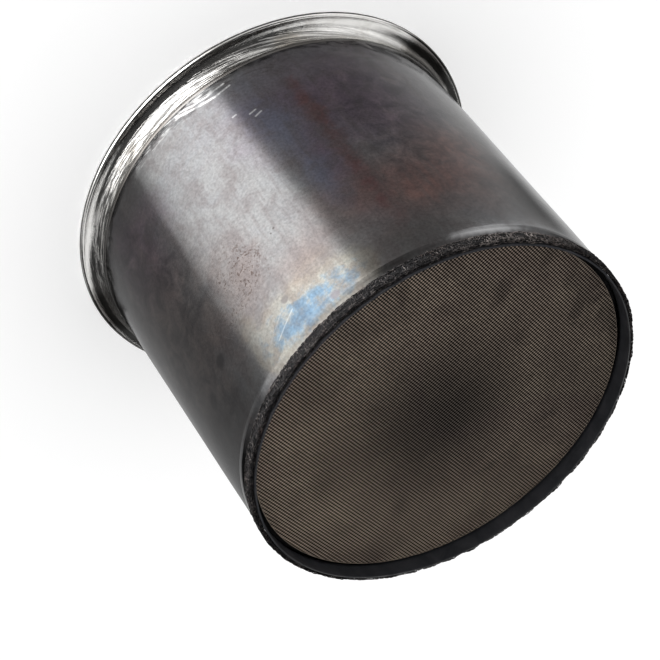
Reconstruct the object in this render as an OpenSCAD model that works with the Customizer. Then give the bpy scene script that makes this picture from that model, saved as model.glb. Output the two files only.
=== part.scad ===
// Diesel particulate filter: a plugged ceramic honeycomb canned in a stainless shell.
// It stands on its V-band flange, the outlet face with its mesh gasket upwards.

/* [Honeycomb] */
// Diameter of the ceramic honeycomb
substrate_d = 330.2; // [280:0.1:360]
// Length of the honeycomb
substrate_len = 279.4; // [200:0.1:340]
// Spacing of the channels, drawn coarser than the real 1.8 so each stays a true solid
cell_pitch = 10.8; // [9:0.1:16]
// Clear width of a channel
cell_open = 8.4; // [5:0.1:8.6]
// Length of the plug that closes each channel at one end
plug_len = 12; // [6:0.5:30]
// Solid skin round the outside of the honeycomb
skin = 1.6; // [1:0.1:6]

/* [Shell] */
// Thickness of the mat, pressed between honeycomb and shell
mat_gap = 6.7; // [4:0.1:12]
// Sheet thickness of the shell
shell_wall = 1.6; // [1:0.1:3]
// Room between the honeycomb and the inside of the collar
collar_gap = 4.1; // [2:0.1:4.8]
// Height of the collar's edge over the outlet face
collar_over = 12.3; // [11:0.1:30]
// Depth below the outlet face at which the shoulder starts
shoulder_drop = 10.9; // [3:0.1:16]
// Bend radius of the shoulder, on the outside
shoulder_r = 12; // [2.2:0.1:16]
// Width of the lengthwise weld
seam_w = 5; // [2:0.1:8]
// Height of the weld beads over the sheet
bead_h = 0.6; // [0.3:0.1:1.2]
// Direction of the lengthwise weld round the shell, in degrees
seam_angle = 135; // [0:1:359]

/* [Flange] */
// Diameter over the flange's turned edge
flange_d = 377.2; // [368:0.1:400]
// Sheet thickness of the flange
flange_wall = 2; // [1.2:0.1:3]
// Length of the flange ring, from its edge to the weld
flange_len = 20; // [17:0.1:40]
// Height of the flat behind the edge
rim_h = 4; // [3.2:0.1:6]
// Outside bend radius of the turned edge
rim_r = 2.4; // [2.2:0.1:3]
// Radius of the flare
flare_r = 12.4; // [6:0.1:13]
// Width of the weld bead between flange and shell
bead_w = 4; // [2:0.1:6]

/* [Seals] */
// Height of the inlet face over the flange's neck
inlet_recess = 4.4; // [3.5:0.1:60]
// Sheet thickness of the retaining ring
ring_wall = 1.6; // [1:0.1:3]
// Width over which the retaining ring covers the inlet face
ring_cover = 6; // [3:0.1:15]
// Thickness of the wire cushion under the honeycomb
cushion_h = 2; // [1.5:0.1:6]
// Height of the wire seal beside the honeycomb at the inlet
rear_seal_h = 11.6; // [6:0.1:30]
// Height of the wire seal behind the collar
front_seal_h = 9; // [5:0.1:30]
// Thickness of the mesh gasket on the collar
gasket_t = 3.6; // [3:0.1:8]
// Width of the mesh gasket
gasket_w = 9.8; // [6:0.1:10]
// Corner radius of the wire seals and the gasket
wire_r = 1.6; // [0.5:0.1:2]

/* [Hidden] */
$fn = 180;
sub_r = substrate_d / 2;
shell_in = sub_r + mat_gap;
shell_out = shell_in + shell_wall;
collar_in = sub_r + collar_gap;
collar_out = collar_in + shell_wall;
inlet_z = flange_len + inlet_recess;
ring_z = inlet_z - cushion_h;
face_z = inlet_z + substrate_len;
edge_z = face_z + collar_over;
shoulder_z = face_z - shoulder_drop;
shoulder_a = acos(1 - (shell_out - collar_out) / (2 * shoulder_r));
shoulder_h = 2 * shoulder_r * sin(shoulder_a);
gasket_z = shoulder_z + shoulder_h;
gasket_out = collar_out + gasket_t;
rim_out = flange_d / 2;
flare = min(flare_r, rim_out - rim_r - shell_out);
flare_z = rim_h + flare;
flare_c = shell_out + flare;
ring_in = sub_r - ring_cover;
leg_in = shell_in - ring_wall;
rear_seal_z = inlet_z + rear_seal_h;
front_seal_z = shoulder_z - front_seal_h;
cells = ceil(sub_r / cell_pitch);
steel = [0.45, 0.43, 0.42];
bright = [0.80, 0.80, 0.79];
soot = [0.16, 0.16, 0.17];
clay = [0.55, 0.46, 0.36];

// Points of an arc round [x, y], from angle a to angle b
function arc(x, y, r, a, b, n = 8) =
    [for (i = [0:n]) [x + r * cos(a + (b - a) * i / n), y + r * sin(a + (b - a) * i / n)]];

// Section of a ring of wire mesh with rounded corners
module wire_section(r_in, r_out, z_in, z_out) {
    c = min(wire_r, (r_out - r_in) / 2.2, (z_out - z_in) / 2.2);
    polygon(concat(
        arc(r_in + c, z_in + c, c, 180, 270, 5),
        arc(r_out - c, z_in + c, c, 270, 360, 5),
        arc(r_out - c, z_out - c, c, 0, 90, 5),
        arc(r_in + c, z_out - c, c, 90, 180, 5)));
}

// Low rounded bead of width w and height h, lying on a wall at x
module bead_section(x, z, w, h) {
    r = (w * w / 4 + h * h) / (2 * h);
    a = asin(w / 2 / r);
    polygon(arc(x + h - r, z, r, -a, a, 8));
}

// Square channels that open at one end, every second cell of the grid
module channels(first, z, len) {
    for (i = [-cells:cells])
        for (j = [-cells:cells])
            if (abs(i + j) % 2 == first
                && norm([abs(i) + 0.5, abs(j) + 0.5]) * cell_pitch < sub_r - skin)
                translate([i * cell_pitch - cell_open / 2, j * cell_pitch - cell_open / 2, z])
                    cube([cell_open, cell_open, len]);
}

// Rolled can: straight wall, S-bend shoulder and a collar with a rounded edge
module shell() {
    a = shoulder_a;
    r = shoulder_r;
    z1 = gasket_z;
    color(steel)
        rotate_extrude()
            polygon(concat(
                [[shell_in, flange_len], [shell_out, flange_len]],
                arc(shell_out - r, shoulder_z, r, 0, a),
                arc(collar_out + r, z1, r, 180 + a, 180),
                arc(collar_out - shell_wall / 2, edge_z - shell_wall / 2, shell_wall / 2, 0, 180),
                arc(collar_out + r, z1, r + shell_wall, 180, 180 + a),
                arc(shell_out - r, shoulder_z, r - shell_wall, a, 0)));
}

// Formed flange: neck, flare, flat and an edge turned back towards the joint
module v_band_flange() {
    w = flange_wall;
    color(bright)
        rotate_extrude()
            polygon(concat(
                [[shell_out - w, flange_len], [shell_out, flange_len]],
                arc(flare_c, flare_z, flare, 180, 270, 16),
                arc(rim_out - rim_r, rim_h - rim_r, rim_r, 90, 0),
                [[rim_out, 0], [rim_out - w, 0]],
                arc(rim_out - rim_r, rim_h - rim_r, rim_r - w, 0, 90),
                arc(flare_c, flare_z, flare + w, 270, 180, 16)));
}

// Weld between the flange's neck and the shell
module flange_weld() {
    color(bright)
        rotate_extrude()
            bead_section(shell_out, flange_len, bead_w, bead_h);
}

// Lengthwise weld of the rolled can, from the flange weld to the shoulder
module seam_weld() {
    half = asin(seam_w / 2 / shell_out);
    low = flange_len + bead_w / 2;
    color(steel)
        rotate([0, 0, seam_angle - half])
            rotate_extrude(angle = 2 * half)
                translate([shell_out, low])
                    square([bead_h, shoulder_z - low]);
}

// Wall-flow honeycomb: inlet channels plugged at the top, outlet channels at the bottom
module substrate() {
    deep = substrate_len - plug_len;
    color(clay)
        difference() {
            translate([0, 0, inlet_z])
                cylinder(r = sub_r, h = substrate_len);
            channels(0, face_z - deep, deep + 1);
            channels(1, inlet_z - 1, deep + 1);
        }
}

// Mat between the two wire seals
module support_mat() {
    color([0.86, 0.83, 0.75])
        translate([0, 0, rear_seal_z])
            difference() {
                cylinder(r = shell_in, h = front_seal_z - rear_seal_z);
                translate([0, 0, -1])
                    cylinder(r = sub_r, h = front_seal_z - rear_seal_z + 2);
            }
}

// Wire rope that fills the gap just behind the shoulder
module front_mat_seal() {
    color(soot)
        rotate_extrude()
            wire_section(sub_r, shell_in, front_seal_z, shoulder_z);
}

// Wire cushion: a foot under the honeycomb's edge and a wall beside it
module rear_mat_seal() {
    foot_in = ring_in + ring_wall;
    color(soot)
        rotate_extrude()
            polygon([
                [foot_in, ring_z], [leg_in, ring_z], [leg_in, rear_seal_z],
                [sub_r, rear_seal_z], [sub_r, inlet_z], [foot_in, inlet_z]]);
}

// L-section ring, its long leg welded to the inside of the shell
module rear_retaining_ring() {
    w = ring_wall;
    b = 1.5 * w;
    color(steel)
        rotate_extrude()
            polygon(concat(
                [[ring_in, ring_z], [ring_in, ring_z - w]],
                arc(shell_in - b, ring_z - w + b, b, 270, 360),
                [[shell_in, rear_seal_z], [leg_in, rear_seal_z], [leg_in, ring_z]]));
}

// Knitted wire ring pushed over the collar against the shoulder
module mesh_gasket() {
    color(soot)
        rotate_extrude()
            wire_section(collar_out, gasket_out, gasket_z, gasket_z + gasket_w);
}

shell();
v_band_flange();
flange_weld();
seam_weld();
substrate();
support_mat();
front_mat_seal();
rear_mat_seal();
rear_retaining_ring();
mesh_gasket();
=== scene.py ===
import math
import random
from types import SimpleNamespace

import bpy
from mathutils import Matrix, Vector
from mathutils.geometry import delaunay_2d_cdt


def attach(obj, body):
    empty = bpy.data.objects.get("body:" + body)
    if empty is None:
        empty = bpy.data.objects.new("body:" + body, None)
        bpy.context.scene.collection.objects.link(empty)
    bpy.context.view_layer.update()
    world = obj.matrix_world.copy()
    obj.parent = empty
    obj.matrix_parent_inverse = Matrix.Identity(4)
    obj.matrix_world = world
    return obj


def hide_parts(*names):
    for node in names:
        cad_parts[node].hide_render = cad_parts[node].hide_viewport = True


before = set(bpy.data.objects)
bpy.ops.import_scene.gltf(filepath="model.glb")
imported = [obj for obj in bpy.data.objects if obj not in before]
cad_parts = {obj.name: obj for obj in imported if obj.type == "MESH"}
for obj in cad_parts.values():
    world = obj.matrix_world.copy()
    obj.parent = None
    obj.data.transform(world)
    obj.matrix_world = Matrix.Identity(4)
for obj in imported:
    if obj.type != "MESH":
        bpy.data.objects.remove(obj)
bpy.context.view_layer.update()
scene = bpy.context.scene
scene.view_settings.view_transform = "Standard"
print("frame loaded:", ", ".join(sorted(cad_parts)))

cameraSide = math.radians(-54.2)  # direction of the camera round the axis, from +X
shellRadius = 0.1734
current = {}  # holds the node tree that is being built


# node helpers

def feed(node, ins):
    # links sockets and sets plain values, by name or in order
    for key, value in (ins.items() if isinstance(ins, dict) else enumerate(ins)):
        if isinstance(value, bpy.types.NodeSocket):
            node.id_data.links.new(value, node.inputs[key])
        elif value is not None:
            node.inputs[key].default_value = value


def addNode(kind, ins=(), **setup):
    node = current["tree"].nodes.new(kind)
    for key, value in setup.items():
        setattr(node, key, value)
    feed(node, ins)
    return node


def calc(operation, *values, clamp=False):
    return addNode("ShaderNodeMath", values, operation=operation, use_clamp=clamp).outputs[0]


def times(first, second):
    return calc("MULTIPLY", first, second)


def vecCalc(operation, *values):
    node = addNode("ShaderNodeVectorMath", values, operation=operation)
    return node.outputs["Value" if operation in ("LENGTH", "DISTANCE", "DOT_PRODUCT") else "Vector"]


def scaled(vector, factor):
    return addNode("ShaderNodeVectorMath", {"Vector": vector, "Scale": factor}, operation="SCALE").outputs[0]


def remap(value, low, high, outLow=0, outHigh=1):
    return addNode("ShaderNodeMapRange", (value, low, high, outLow, outHigh),
                   interpolation_type="SMOOTHSTEP").outputs[0]


def noise(vector, scale, detail=4, rough=0.55, warp=0):
    return addNode("ShaderNodeTexNoise", {"Vector": vector, "Scale": scale, "Detail": detail,
                                          "Roughness": rough, "Distortion": warp}).outputs["Fac"]


def ramp(value, stops):
    node = addNode("ShaderNodeValToRGB", (value,))
    while len(node.color_ramp.elements) < len(stops):
        node.color_ramp.elements.new(0.5)
    for element, (place, colour) in zip(node.color_ramp.elements, stops):
        element.position = place
        element.color = (*colour, 1)
    return node.outputs["Color"]


def mixColour(factor, first, second, way="MIX"):
    colours = [(*value, 1) if isinstance(value, tuple) else value for value in (first, second)]
    ins = {0: factor, 6: colours[0], 7: colours[1]}
    return addNode("ShaderNodeMix", ins, data_type="RGBA", blend_type=way).outputs[2]


def tinted(first, second):
    return mixColour(1, first, second, "MULTIPLY")


def laid(under, mask, share, colour):
    # a colour laid over another where a mask says so
    return mixColour(times(mask, share), under, colour)


def mixValue(factor, first, second):
    return addNode("ShaderNodeMix", {0: factor, 2: first, 3: second}, data_type="FLOAT").outputs[0]


def newGroup(name, inputs, outputs):
    tree = current["tree"] = bpy.data.node_groups.new(name, "ShaderNodeTree")
    kinds = {"v": "NodeSocketVector", "f": "NodeSocketFloat", "c": "NodeSocketColor"}
    for way, labels in (("INPUT", inputs), ("OUTPUT", outputs)):
        for label, kind in labels.items():
            tree.interface.new_socket(name=label, in_out=way, socket_type=kinds[kind])
    return tree, addNode("NodeGroupInput").outputs, addNode("NodeGroupOutput")


def useGroup(group, ins):
    return addNode("ShaderNodeGroup", ins, node_tree=group).outputs


def newFinish(name, colour, metal, rough, specular=0.5):
    finish = bpy.data.materials.new(name)
    finish.use_nodes = True
    current["tree"] = finish.node_tree
    shader = finish.node_tree.nodes["Principled BSDF"]
    feed(shader, {"Base Color": (*colour, 1), "Metallic": metal, "Roughness": rough,
                  "Specular IOR Level": specular})
    place = addNode("ShaderNodeTexCoord").outputs["Object"]
    return finish, shader, place


def bumpOn(shader, height, strength, distance, under=None):
    node = addNode("ShaderNodeBump", {"Height": height, "Strength": strength, "Distance": distance,
                                      "Normal": under})
    feed(shader, {"Normal": node.outputs[0]})
    return node.outputs[0]


# effects shared by several finishes

def makeRoundPlace():
    tree, ins, out = newGroup("roundPlace", {"Place": "v"}, {"Radius": "f", "Height": "f", "Rim": "v"})
    parts = addNode("ShaderNodeSeparateXYZ", (ins["Place"],)).outputs
    flat = addNode("ShaderNodeCombineXYZ", (parts[0], parts[1], 0)).outputs[0]
    feed(out, {"Radius": vecCalc("LENGTH", flat), "Height": parts[2], "Rim": vecCalc("NORMALIZE", flat)})
    return tree


def makeStainPatch():
    tree, ins, out = newGroup("stainPatch", {"Place": "v", "Centre": "v", "Reach": "v", "Ragged": "f",
                                             "Grain": "f", "Core": "f"}, {"Mask": "f"})
    away = vecCalc("DIVIDE", vecCalc("SUBTRACT", ins["Place"], ins["Centre"]), ins["Reach"])
    rough = noise(ins["Place"], ins["Grain"], 5, 0.6, 0.4)
    torn = times(calc("SUBTRACT", rough, 0.5), ins["Ragged"])
    far = calc("ADD", vecCalc("LENGTH", away), torn)
    feed(out, {"Mask": remap(far, 1, ins["Core"])})
    return tree


def makeScratchLine():
    tree, ins, out = newGroup("scratchLine", {"Place": "v", "From": "v", "Along": "v", "Width": "f"},
                              {"Mask": "f"})
    away = vecCalc("SUBTRACT", ins["Place"], ins["From"])
    reach = vecCalc("DOT_PRODUCT", ins["Along"], ins["Along"])
    part = calc("DIVIDE", vecCalc("DOT_PRODUCT", away, ins["Along"]), reach, clamp=True)
    gap = vecCalc("LENGTH", vecCalc("SUBTRACT", away, scaled(ins["Along"], part)))
    broken = remap(noise(ins["Place"], 240, 2), 0.3, 0.55, 0.25, 1)
    feed(out, {"Mask": times(remap(gap, ins["Width"], 0), broken)})
    return tree


def makeSootCloud():
    tree, ins, out = newGroup("sootCloud", {"Place": "v", "Grain": "f", "Cover": "f", "Soft": "f"},
                              {"Mask": "f"})
    cloud = noise(ins["Place"], ins["Grain"], 7, 0.62, 0.6)
    edge = calc("SUBTRACT", 1, ins["Cover"])
    low = calc("SUBTRACT", edge, ins["Soft"])
    high = calc("ADD", edge, ins["Soft"])
    feed(out, {"Mask": remap(cloud, low, high)})
    return tree


def makeTurnMarks():
    tree, ins, out = newGroup("turnMarks", {"Place": "v", "Fine": "f", "Broken": "f"}, {"Mark": "f"})
    lie = useGroup(roundPlace, {"Place": ins["Place"]})
    along = times(calc("ADD", lie["Height"], lie["Radius"]), ins["Fine"])
    across = times(calc("SUBTRACT", lie["Height"], lie["Radius"]), ins["Fine"])
    turn = addNode("ShaderNodeSeparateXYZ", (scaled(lie["Rim"], ins["Broken"]),)).outputs
    spot = addNode("ShaderNodeCombineXYZ", (along, calc("ADD", turn[0], across), turn[1])).outputs[0]
    feed(out, {"Mark": noise(spot, 1, 3, 0.6)})
    return tree


def makeTemperColour():
    tree, ins, out = newGroup("temperColour", {"Heat": "f"}, {"Color": "c"})
    tint = ramp(ins["Heat"], [
        (0, (1, 1, 1)), (0.2, (1.22, 1.17, 1.04)), (0.36, (1.3, 1.27, 1.14)),
        (0.52, (1.03, 1.18, 1.24)), (0.7, (0.78, 1.08, 1.34)), (1, (0.58, 0.93, 1.28))])
    feed(out, {"Color": tint})
    return tree


roundPlace = makeRoundPlace()
stainPatch = makeStainPatch()
scratchLine = makeScratchLine()
sootCloud = makeSootCloud()
turnMarks = makeTurnMarks()
temperColour = makeTemperColour()
print("shared effects ready")


def stain(place, centre, reach, ragged, grain, core):
    return useGroup(stainPatch, {"Place": place, "Centre": centre, "Reach": reach, "Ragged": ragged,
                                 "Grain": grain, "Core": core})["Mask"]


def sootOn(place, grain, cover, soft):
    return useGroup(sootCloud, {"Place": place, "Grain": grain, "Cover": cover, "Soft": soft})["Mask"]


def marksOn(place, fine, broken):
    return useGroup(turnMarks, {"Place": place, "Fine": fine, "Broken": broken})["Mark"]


# mesh helpers

def arc(x, y, r, start, end, count):
    angles = [math.radians(start + (end - start) * k / count) for k in range(count + 1)]
    return [(x + r * math.cos(a), y + r * math.sin(a)) for a in angles]


def between(first, second, count):  # points on a straight, without its ends
    return [(first[0] + (second[0] - first[0]) * k / count, first[1] + (second[1] - first[1]) * k / count)
            for k in range(1, count)]


def dress(piece, node, finish):
    piece.data.materials.clear()
    piece.data.materials.append(finish)
    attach(piece, "root")
    if node:
        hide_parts(node)
    print(" ", piece.name, len(piece.data.polygons), "faces")
    return piece


def newPiece(name, mesh):
    piece = bpy.data.objects.new(name, mesh)
    scene.collection.objects.link(piece)
    return piece


def newMesh(name, verts, faces, smooth=False, sharp=None):
    mesh = bpy.data.meshes.new(name)
    mesh.from_pydata(verts, [], faces)
    if smooth:
        mesh.polygons.foreach_set("use_smooth", [True] * len(mesh.polygons))
    if sharp:
        mesh.set_sharp_from_angle(angle=math.radians(sharp))
    return mesh


def ringFaces(steps, count):
    # quads of a closed section of count points, carried round in steps
    faces = []
    for s in range(steps):
        n = (s + 1) % steps
        for k in range(count):
            m = (k + 1) % count
            faces.append((s * count + k, n * count + k, n * count + m, s * count + m))
    return faces


def spun(name, profile, steps, shift=None, sharp=40):
    # profile runs anticlockwise in (radius, height) and closes on itself
    verts = []
    for s in range(steps):
        a = math.tau * s / steps
        for r, z in profile:
            dr, dz = shift(a, r, z) if shift else (0, 0)
            verts.append(((r + dr) * math.cos(a), (r + dr) * math.sin(a), z + dz))
    mesh = newMesh(name, verts, ringFaces(steps, len(profile)), True, sharp)
    mesh.validate()
    return newPiece(name, mesh)


def waves(seed, count, lowTurns, highTurns):
    # a smooth random curve round the axis, seamless after a full turn, about -1 to 1
    rng = random.Random(seed)
    parts = [(rng.randint(lowTurns, highTurns), rng.uniform(0, math.tau), rng.uniform(0.4, 1))
             for _ in range(count)]
    total = math.sqrt(sum(p[2] ** 2 for p in parts))
    return lambda a: sum(w * math.cos(n * a + p) for n, p, w in parts) / total


def onShell(turn, height, radius=shellRadius):
    # a place round the axis, its turn in degrees from the camera side
    a = cameraSide + math.radians(turn)
    return (radius * math.cos(a), radius * math.sin(a), height)


# shell: rolled can with an S-bend shoulder and a collar

shell = {"outer": shellRadius, "wall": 0.0016, "low": 0.02, "shoulder": 0.2929, "bend": 0.012,
         "collar": 0.1708, "top": 0.3161, "waist": 0.036, "waistRows": 24, "wallRows": 40, "steps": 720,
         "dent": 0.0001, "ripple": 0.00018, "rippleHigh": 0.03, "footFade": 0.012, "topFade": 0.02}
# where a look sets in and where it is full, in radius or height
shellLooks = {"inCollar": (0.1701, 0.1697), "inCan": (0.1724, 0.172), "underShoulder": (0.293, 0.2925),
              "soot": (0.303, 0.3038), "lip": (0.3153, 0.3159), "dented": (0.046, 0.024)}

# stains, in the order in which they are laid: share, colour and spots, each with its turn from the
# camera side, height, reach across, reach along, ragged, grain, core
shellStains = [
    (0.95, (0.056, 0.043, 0.056), [
        (-30, 0.095, 0.13, 0.115, 1, 15, 0.1), (-17, 0.15, 0.03, 0.12, 0.9, 22, 0),
        (46, 0.085, 0.075, 0.085, 1.1, 20, 0.1)]),
    (0.95, (0.077, 0.044, 0.039), [
        (-36, 0.226, 0.125, 0.066, 1, 16, 0.1), (-52, 0.185, 0.07, 0.06, 1.1, 22, 0.1)]),
    (0.8, (0.052, 0.056, 0.074), [
        (-11, 0.105, 0.03, 0.085, 1.1, 26, 0.1), (-13, 0.18, 0.022, 0.05, 1.3, 30, 0)]),
    (0.95, (0.056, 0.03, 0.03), [
        (-22, 0.205, 0.013, 0.08, 1.9, 60, 0), (-22.5, 0.11, 0.013, 0.062, 2, 60, 0)]),
    (0.6, (0.056, 0.042, 0.038), [
        (21, 0.205, 0.04, 0.06, 1.4, 30, 0), (4, 0.243, 0.05, 0.032, 1.2, 24, 0),
        (36, 0.225, 0.03, 0.07, 1.6, 30, 0), (54, 0.15, 0.105, 0.15, 1.1, 20, 0)]),
    (0.65, (0.038, 0.035, 0.034), [
        (-22, 0.284, 0.062, 0.036, 0.9, 34, 0.2), (-64, 0.262, 0.026, 0.042, 1.2, 30, 0.2),
        (46, 0.262, 0.042, 0.046, 1.4, 28, 0.1), (46, 0.18, 0.036, 0.09, 1.5, 22, 0.1),
        (57, 0.235, 0.022, 0.06, 1.6, 34, 0.2), (63, 0.11, 0.016, 0.07, 1.6, 40, 0.2),
        (36, 0.038, 0.03, 0.03, 1.3, 30, 0.2), (-6, 0.288, 0.026, 0.013, 0.9, 40, 0.2)])]
shellMottled = [(54, 0.15, 0.1, 0.19, 0.5, 18, 0.4), (-46, 0.15, 0.11, 0.19, 0.6, 18, 0.2)]
# painted highlight: a bright patch on the shoulder bend, laid into the shell's colour; its place as for the
# stains
shellShoulderGlare = (-40, 0.2958, 0.05, 0.0054, 0.9, 70, 0.1)
shellSpecked = (20, 0.206, 0.048, 0.056, 1.6, 48, 0)
shellFootStreaks = (8, 0.02, 0.085, 0.02, 1.2, 40, 0.2)
# heat tint: a spot as above and its strength
shellHeat = [(11, 0.284, 0.08, 0.046, 1, 30, 0.1, 0.38), (17, 0.279, 0.052, 0.03, 0.9, 48, 0.2, 0.41),
             (-2, 0.2815, 0.038, 0.03, 0.9, 48, 0.1, 0.4), (7, 0.284, 0.04, 0.018, 0.9, 52, 0.1, 0.16),
             (28, 0.262, 0.014, 0.048, 0.9, 60, 0.1, 0.26)]
# scratches: start, end, width, colour
shellScratches = [((14.4, 0.2722), (22.2, 0.2828), 0.0011, (0.15, 0.158, 0.16)),
                  ((16.8, 0.2648), (26.3, 0.28), 0.0013, (0.104, 0.108, 0.11)),
                  ((-10.5, 0.081), (-8.5, 0.083), 0.0015, (0.42, 0.42, 0.42)),
                  ((-9.5, 0.076), (-7.6, 0.0772), 0.0015, (0.42, 0.42, 0.42)),
                  ((-4.5, 0.069), (-3.4, 0.0694), 0.0014, (0.3, 0.3, 0.3)),
                  ((27, 0.236), (18, 0.188), 0.0006, (0.04, 0.034, 0.032)),
                  ((24, 0.246), (21, 0.2), 0.0005, (0.04, 0.034, 0.032)),
                  ((38, 0.118), (44, 0.096), 0.0005, (0.09, 0.09, 0.092)),
                  ((33, 0.24), (40, 0.2), 0.0005, (0.095, 0.095, 0.096))]
# dark spots: place, reach, colour
shellSpots = [((14.5, 0.2593), 0.0045, (0.04, 0.036, 0.036)), ((3.5, 0.2916), 0.0055, (0.052, 0.047, 0.052)),
              ((5.8, 0.1965), 0.0014, (0.016, 0.013, 0.012)), ((7.2, 0.199), 0.001, (0.02, 0.016, 0.015)),
              ((41, 0.2355), 0.008, (0.022, 0.02, 0.021)), ((53, 0.242), 0.009, (0.022, 0.02, 0.021)),
              ((60, 0.164), 0.0065, (0.022, 0.02, 0.021))]
# painted reflections beside the flange: the pale curls paint the flange's bright streaks mirrored in the
# shell, the dark curls the dark swirls its dents show; points, width, colour
shellReflectionCurls = [([(-6, 0.03), (-13, 0.0318), (-19, 0.0352), (-21, 0.039), (-19, 0.0408), (-15, 0.0392)],
               0.0013, (0.03, 0.026, 0.025)),
              ([(-26, 0.034), (-23, 0.0372), (-20, 0.0345), (-16, 0.03)], 0.001, (0.034, 0.029, 0.028)),
              ([(-8, 0.035), (-3, 0.0372), (2, 0.0345), (6, 0.03), (9, 0.0262)], 0.0017, (0.42, 0.42, 0.415)),
              ([(-7, 0.029), (-1, 0.0312), (4, 0.028), (7, 0.0245)], 0.0015, (0.42, 0.42, 0.415)),
              ([(11, 0.03), (15, 0.033), (19, 0.03), (22, 0.0262)], 0.0012, (0.036, 0.033, 0.032))]
# dents beside the flange: turn, height, reach round, reach along, depth
shellDents = [(-22, 0.037, 0.006, 0.004, 0.0003), (-17, 0.03, 0.005, 0.004, -0.00016),
              (-12, 0.036, 0.0065, 0.0045, 0.0004), (-6, 0.031, 0.005, 0.0035, 0.00034),
              (-1, 0.036, 0.006, 0.004, -0.00018), (4, 0.031, 0.007, 0.004, 0.0004),
              (10, 0.029, 0.006, 0.0036, 0.00026), (26, 0.032, 0.007, 0.005, 0.0002),
              (-40, 0.034, 0.008, 0.005, 0.00022)]


def shellFinish():
    finish, shader, place = newFinish("heatTintedSteel", (0.06, 0.06, 0.06), 1, 0.24, 0.1)
    lie = useGroup(roundPlace, {"Place": place})

    def patch(turn, height, across, along, ragged, grain, core):
        return stain(place, onShell(turn, height), (across, across, along), ragged, grain, core)

    def widest(spots):
        mask = patch(*spots[0])
        for spot in spots[1:]:
            mask = calc("MAXIMUM", mask, patch(*spot))
        return mask

    def line(start, end, width):
        first, last = Vector(onShell(*start)), Vector(onShell(*end))
        ins = {"Place": place, "From": first, "Along": last - first, "Width": width}
        return useGroup(scratchLine, ins)["Mask"]

    drift = noise(place, 8, 7, 0.66, 0.9)
    fine = noise(place, 52, 7, 0.68, 0.5)
    rolled = noise(vecCalc("MULTIPLY", place, (95, 95, 9)), 1, 5, 0.62)
    dust = noise(place, 420, 3, 0.6)
    tint = ramp(drift, [(0.3, (0.056, 0.056, 0.058)), (0.45, (0.065, 0.065, 0.065)),
                        (0.56, (0.062, 0.063, 0.065)), (0.72, (0.061, 0.058, 0.058))])
    for share, colour, spots in shellStains:
        tint = laid(tint, widest(spots), share, colour)
    tint = mixColour(remap(fine, 0.42, 0.68, 0, 0.58), tint, (0.039, 0.034, 0.034))
    tint = mixColour(remap(rolled, 0.48, 0.7, 0, 0.58), tint, (0.042, 0.037, 0.037))
    heat = None
    for spot in shellHeat:
        rise = times(patch(*spot[:7]), spot[7])
        heat = calc("ADD", heat, rise) if heat else rise
    heat = times(heat, remap(noise(place, 85, 5, 0.62), 0.32, 0.62, 0.55, 1.12))
    tint = tinted(tint, useGroup(temperColour, {"Heat": heat})["Color"])
    specks = sootOn(place, 400, 0.43, 0.03)
    tint = laid(tint, specks, patch(*shellSpecked), (0.022, 0.016, 0.014))
    tint = tinted(tint, ramp(dust, [(0.3, (0.84, 0.84, 0.84)), (0.7, (1.24, 1.24, 1.24))]))
    mottle = ramp(noise(place, 44, 5, 0.66, 0.8),
                  [(0.36, (0.62, 0.6, 0.63)), (0.5, (1.04, 1, 1.01)), (0.64, (1.52, 1.42, 1.38))])
    tint = mixColour(widest(shellMottled), tint, mottle, "MULTIPLY")
    # painted highlight on the shoulder bend
    tint = laid(tint, patch(*shellShoulderGlare), 0.8, (0.3, 0.3, 0.305))
    for start, end, width, pale in shellScratches:
        tint = laid(tint, line(start, end, width), 0.45, pale)
    # painted reflections of the flange and of the dents beside it
    for points, width, tone in shellReflectionCurls:
        reflectionCurl = line(points[0], points[1], width)
        for start, end in zip(points[1:], points[2:]):
            reflectionCurl = calc("MAXIMUM", reflectionCurl, line(start, end, width))
        tint = laid(tint, reflectionCurl, remap(fine, 0.38, 0.6, 0.15, 0.7), tone)
    # pale streaks along the turn, low on the shell just above the flange
    rubbed = marksOn(place, 330, 16)
    footStreaks = times(remap(rubbed, 0.48, 0.62), patch(*shellFootStreaks))
    tint = laid(tint, footStreaks, 0.8, (0.26, 0.26, 0.255))
    for (turn, height), reach, dark in shellSpots:
        spot = patch(turn, height, reach, reach, 0.5, 160, 0.5)
        tint = laid(tint, spot, 0.7, dark)
    inside = calc("MAXIMUM", remap(lie["Radius"], *shellLooks["inCollar"]),
                  times(remap(lie["Radius"], *shellLooks["inCan"]),
                        remap(lie["Height"], *shellLooks["underShoulder"])))
    soot = calc("MAXIMUM", remap(lie["Height"], *shellLooks["soot"]), inside)
    tint = mixColour(soot, tint, ramp(fine, [(0.35, (0.02, 0.021, 0.024)), (0.65, (0.036, 0.036, 0.04))]))
    # the lip's worn bare edge, and a painted highlight: it is made lighter only on the side away from the
    # camera
    lip = times(remap(lie["Height"], *shellLooks["lip"]), remap(fine, 0.36, 0.56, 0.3, 1))
    ahead = vecCalc("DOT_PRODUCT", place, onShell(0, 0, 1))
    lip = times(lip, remap(ahead, 0.03, -0.07))
    tint = mixColour(lip, tint, (0.085, 0.085, 0.086))
    soot = times(soot, calc("SUBTRACT", 1, lip))
    rough = remap(fine, 0.3, 0.7, 0.09, 0.16)
    feed(shader, {"Base Color": tint, "Metallic": calc("SUBTRACT", 1, times(soot, 0.85)),
                  "Roughness": mixValue(soot, rough, 0.55)})
    dents = times(noise(place, 62, 1, 0.4, 0.6), remap(lie["Height"], *shellLooks["dented"]))
    waved = bumpOn(shader, dents, 0.7, 0.0012)
    grain = marksOn(place, 900, 6)
    bumpOn(shader, calc("ADD", grain, fine), 0.08, 0.0004, waved)
    return finish


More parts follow.
